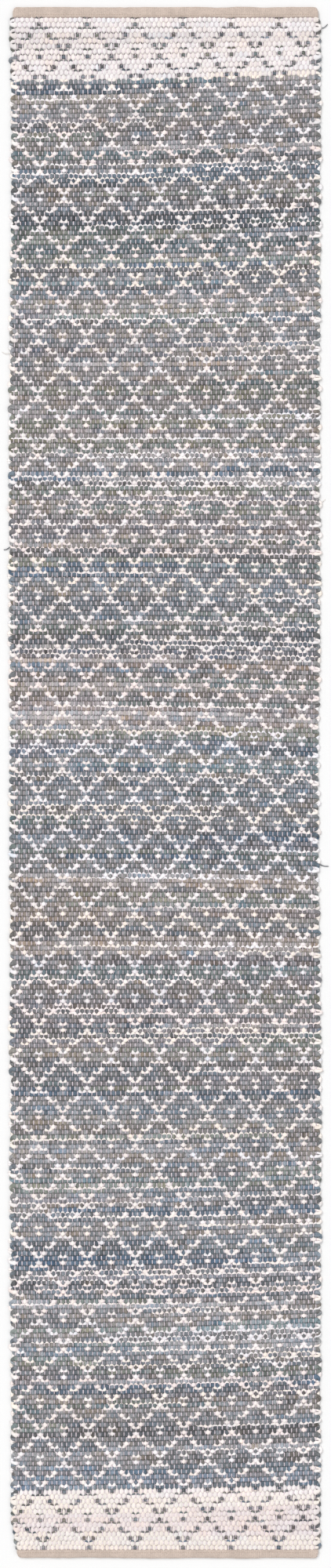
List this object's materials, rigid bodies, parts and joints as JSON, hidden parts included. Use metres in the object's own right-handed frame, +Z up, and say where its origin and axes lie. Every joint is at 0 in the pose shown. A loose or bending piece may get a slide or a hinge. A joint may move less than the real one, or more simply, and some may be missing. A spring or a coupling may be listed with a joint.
{
  "type": "runner rug",
  "caption": "Long narrow weft-backed rag rug in denim and white cotton with a diamond weave, looped selvedges, taped ends and fold lines for folding into quarters.",
  "frame": {"origin": "middle of the underside, where the centre fold line crosses the runner's middle", "axes": "+X across the runner to the right, +Y along it towards the far end (the end with the twelve-row band), +Z up through the denim face"},
  "size_m": [0.61, 3.048, 0.008],
  "materials": {
    "denim": "matte",
    "white_cotton": "matte",
    "warp": "matte",
    "loops": "matte",
    "tape": "matte",
    "thread": "matte"
  },
  "bodies": {
    "near_middle": {"near_middle_face_weft": "denim", "near_middle_warp": "warp", "near_middle_back_weft": "white_cotton", "near_middle_selvedge_left": "loops", "near_middle_selvedge_right": "loops"},
    "near_quarter": {"near_quarter_face_weft": "denim", "near_quarter_warp": "warp", "near_quarter_back_weft": "white_cotton", "near_quarter_selvedge_left": "loops", "near_quarter_selvedge_right": "loops", "near_band_face_weft": "white_cotton", "near_band_back_weft": "denim", "near_binding": "tape", "near_cloth_end": "warp", "near_stitches_face": "thread", "near_stitches_back": "thread"},
    "far_middle": {"far_middle_face_weft": "denim", "far_middle_warp": "warp", "far_middle_back_weft": "white_cotton", "far_middle_selvedge_left": "loops", "far_middle_selvedge_right": "loops"},
    "far_quarter": {"far_quarter_face_weft": "denim", "far_quarter_warp": "warp", "far_quarter_back_weft": "white_cotton", "far_quarter_selvedge_left": "loops", "far_quarter_selvedge_right": "loops", "far_band_face_weft": "white_cotton", "far_band_back_weft": "denim", "far_binding": "tape", "far_cloth_end": "warp", "far_stitches_face": "thread", "far_stitches_back": "thread"}
  },
  "joints": [
    {"name": "near_fold", "type": "hinge", "parent": "near_middle", "child": "near_quarter", "pos_m": [0, -0.7708, 0.0085], "axis": [-1, 0, 0], "range_deg": [0, 180]},
    {"name": "centre_fold", "type": "hinge", "parent": "near_middle", "child": "far_middle", "pos_m": [0, 0, 0.0175], "axis": [1, 0, 0], "range_deg": [0, 180]},
    {"name": "far_fold", "type": "hinge", "parent": "far_middle", "child": "far_quarter", "pos_m": [0, 0.7708, 0.0085], "axis": [1, 0, 0], "range_deg": [0, 180]}
  ]
}
